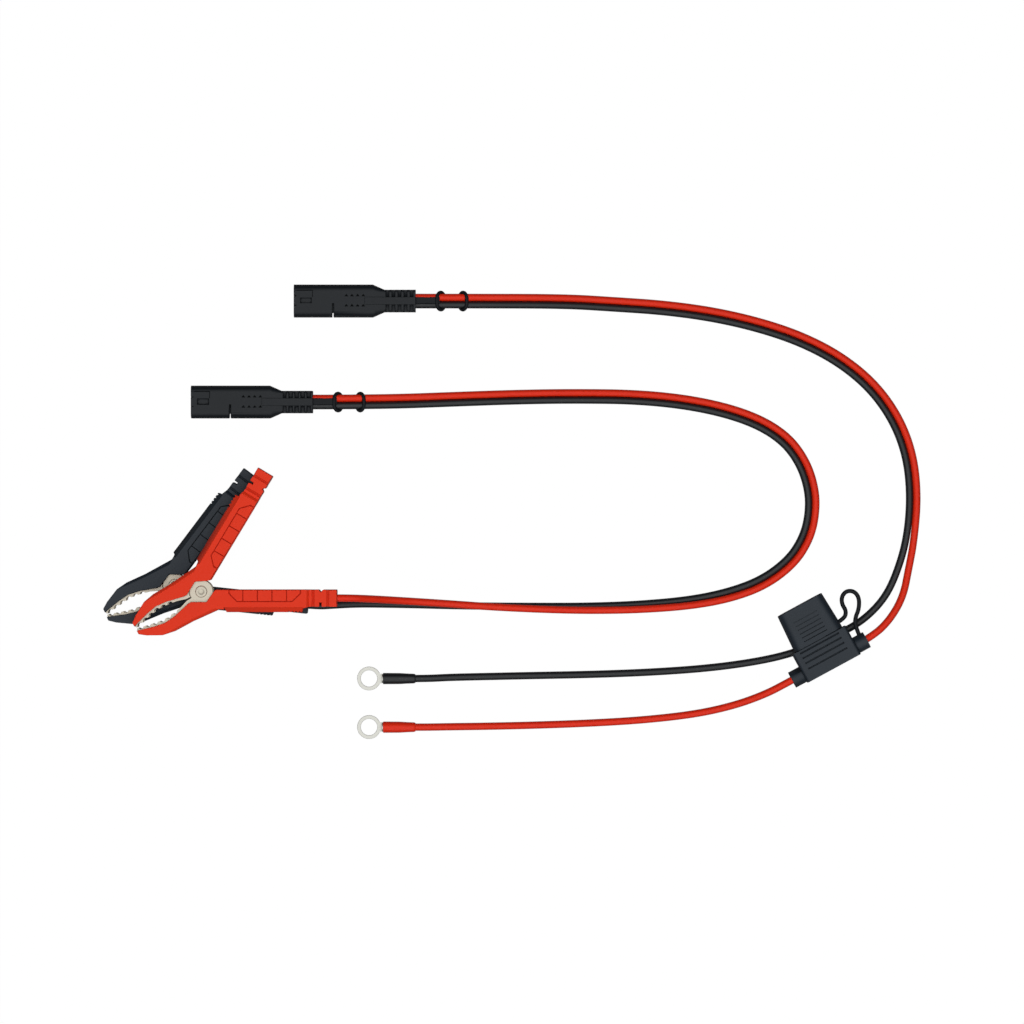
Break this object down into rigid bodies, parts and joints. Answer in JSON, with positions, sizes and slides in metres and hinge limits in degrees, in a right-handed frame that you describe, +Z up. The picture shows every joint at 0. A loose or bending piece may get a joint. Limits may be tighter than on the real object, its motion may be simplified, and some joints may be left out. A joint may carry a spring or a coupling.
{
  "type": "battery charger lead set",
  "caption": "Two low-voltage leads of a car battery charger: one with sprung battery clamps, one with a fused wire and ring terminals, each on the same moulded connector.",
  "frame": {"origin": "bottom centre of the box round the rigid pieces, as the leads lie on the floor", "axes": "+X to the right and +Y away in the plan view, along the floor; +Z up from the floor"},
  "size_m": [0.4212, 0.2336, 0.0363],
  "materials": {
    "black_plastic": "moulded, fine grain",
    "red_plastic": "moulded, fine grain",
    "black_insulation": "extruded vinyl insulation, satin",
    "red_insulation": "extruded vinyl insulation, satin",
    "black_rubber": "soft moulded rubber",
    "clamp_steel": "pressed plated steel",
    "spring_steel": "drawn plated spring wire",
    "tinned_copper": "tin plated, smooth",
    "contact_brass": "turned, bright",
    "fuse_plastic": "clear tinted plastic",
    "fuse_blade_metal": "stamped, bright"
  },
  "bodies": {
    "leads": {"black_grip_lower": "black_plastic", "black_hinge_rivet": "clamp_steel", "black_hinge_spring": "spring_steel", "black_jaw_lower": "clamp_steel", "black_ring_sleeve": "black_insulation", "black_ring_terminal": "tinned_copper", "black_wire_crimp": "tinned_copper", "clip_plug_housing": "black_plastic", "clip_plug_insert": "black_plastic", "clip_plug_pin": "contact_brass", "clip_plug_socket": "contact_brass", "clip_twin_ring_first": "black_rubber", "clip_twin_ring_second": "black_rubber", "clip_wire_black": "black_insulation", "clip_wire_red": "red_insulation", "eyelet_plug_housing": "black_plastic", "eyelet_plug_insert": "black_plastic", "eyelet_plug_pin": "contact_brass", "eyelet_plug_socket": "contact_brass", "eyelet_twin_ring_first": "black_rubber", "eyelet_twin_ring_second": "black_rubber", "eyelet_wire_black": "black_insulation", "eyelet_wire_feed": "red_insulation", "eyelet_wire_red": "red_insulation", "fuse_cap_strap": "black_rubber", "fuse_clip_feed": "tinned_copper", "fuse_clip_tail": "tinned_copper", "fuse_holder_body": "black_plastic", "red_grip_lower": "red_plastic", "red_hinge_rivet": "clamp_steel", "red_hinge_spring": "spring_steel", "red_jaw_lower": "clamp_steel", "red_ring_sleeve": "red_insulation", "red_ring_terminal": "tinned_copper", "red_wire_crimp": "tinned_copper"},
    "red_clamp_half": {"red_grip_upper": "red_plastic", "red_jaw_upper": "clamp_steel"},
    "black_clamp_half": {"black_grip_upper": "black_plastic", "black_jaw_upper": "clamp_steel"},
    "fuse_cap": {"fuse_cap": "black_plastic"},
    "fuse": {"fuse_body": "fuse_plastic", "fuse_blades": "fuse_blade_metal"}
  },
  "joints": [
    {"name": "red_clamp_hinge", "type": "hinge", "parent": "leads", "child": "red_clamp_half", "pos_m": [-0.1456, -0.0405, 0.0273], "axis": [0, 0, 1], "range_deg": [-38, 0], "stiffness_Nm_per_rad": 0.6, "springref_deg": 45.84, "deforming": ["red_hinge_spring"]},
    {"name": "black_clamp_hinge", "type": "hinge", "parent": "leads", "child": "black_clamp_half", "pos_m": [-0.16025, -0.0373, 0.009], "axis": [0, 0, 1], "range_deg": [-38, 0], "stiffness_Nm_per_rad": 0.6, "springref_deg": 45.84, "deforming": ["black_hinge_spring"]},
    {"name": "cap_slide", "type": "slide", "parent": "leads", "child": "fuse_cap", "axis": [-0.4772, 0.8788, 0], "range_m": [0, 0.024], "deforming": ["fuse_cap_strap"]},
    {"name": "fuse_slide", "type": "slide", "parent": "leads", "child": "fuse", "axis": [-0.4772, 0.8788, 0], "range_m": [0, 0.0065]}
  ]
}
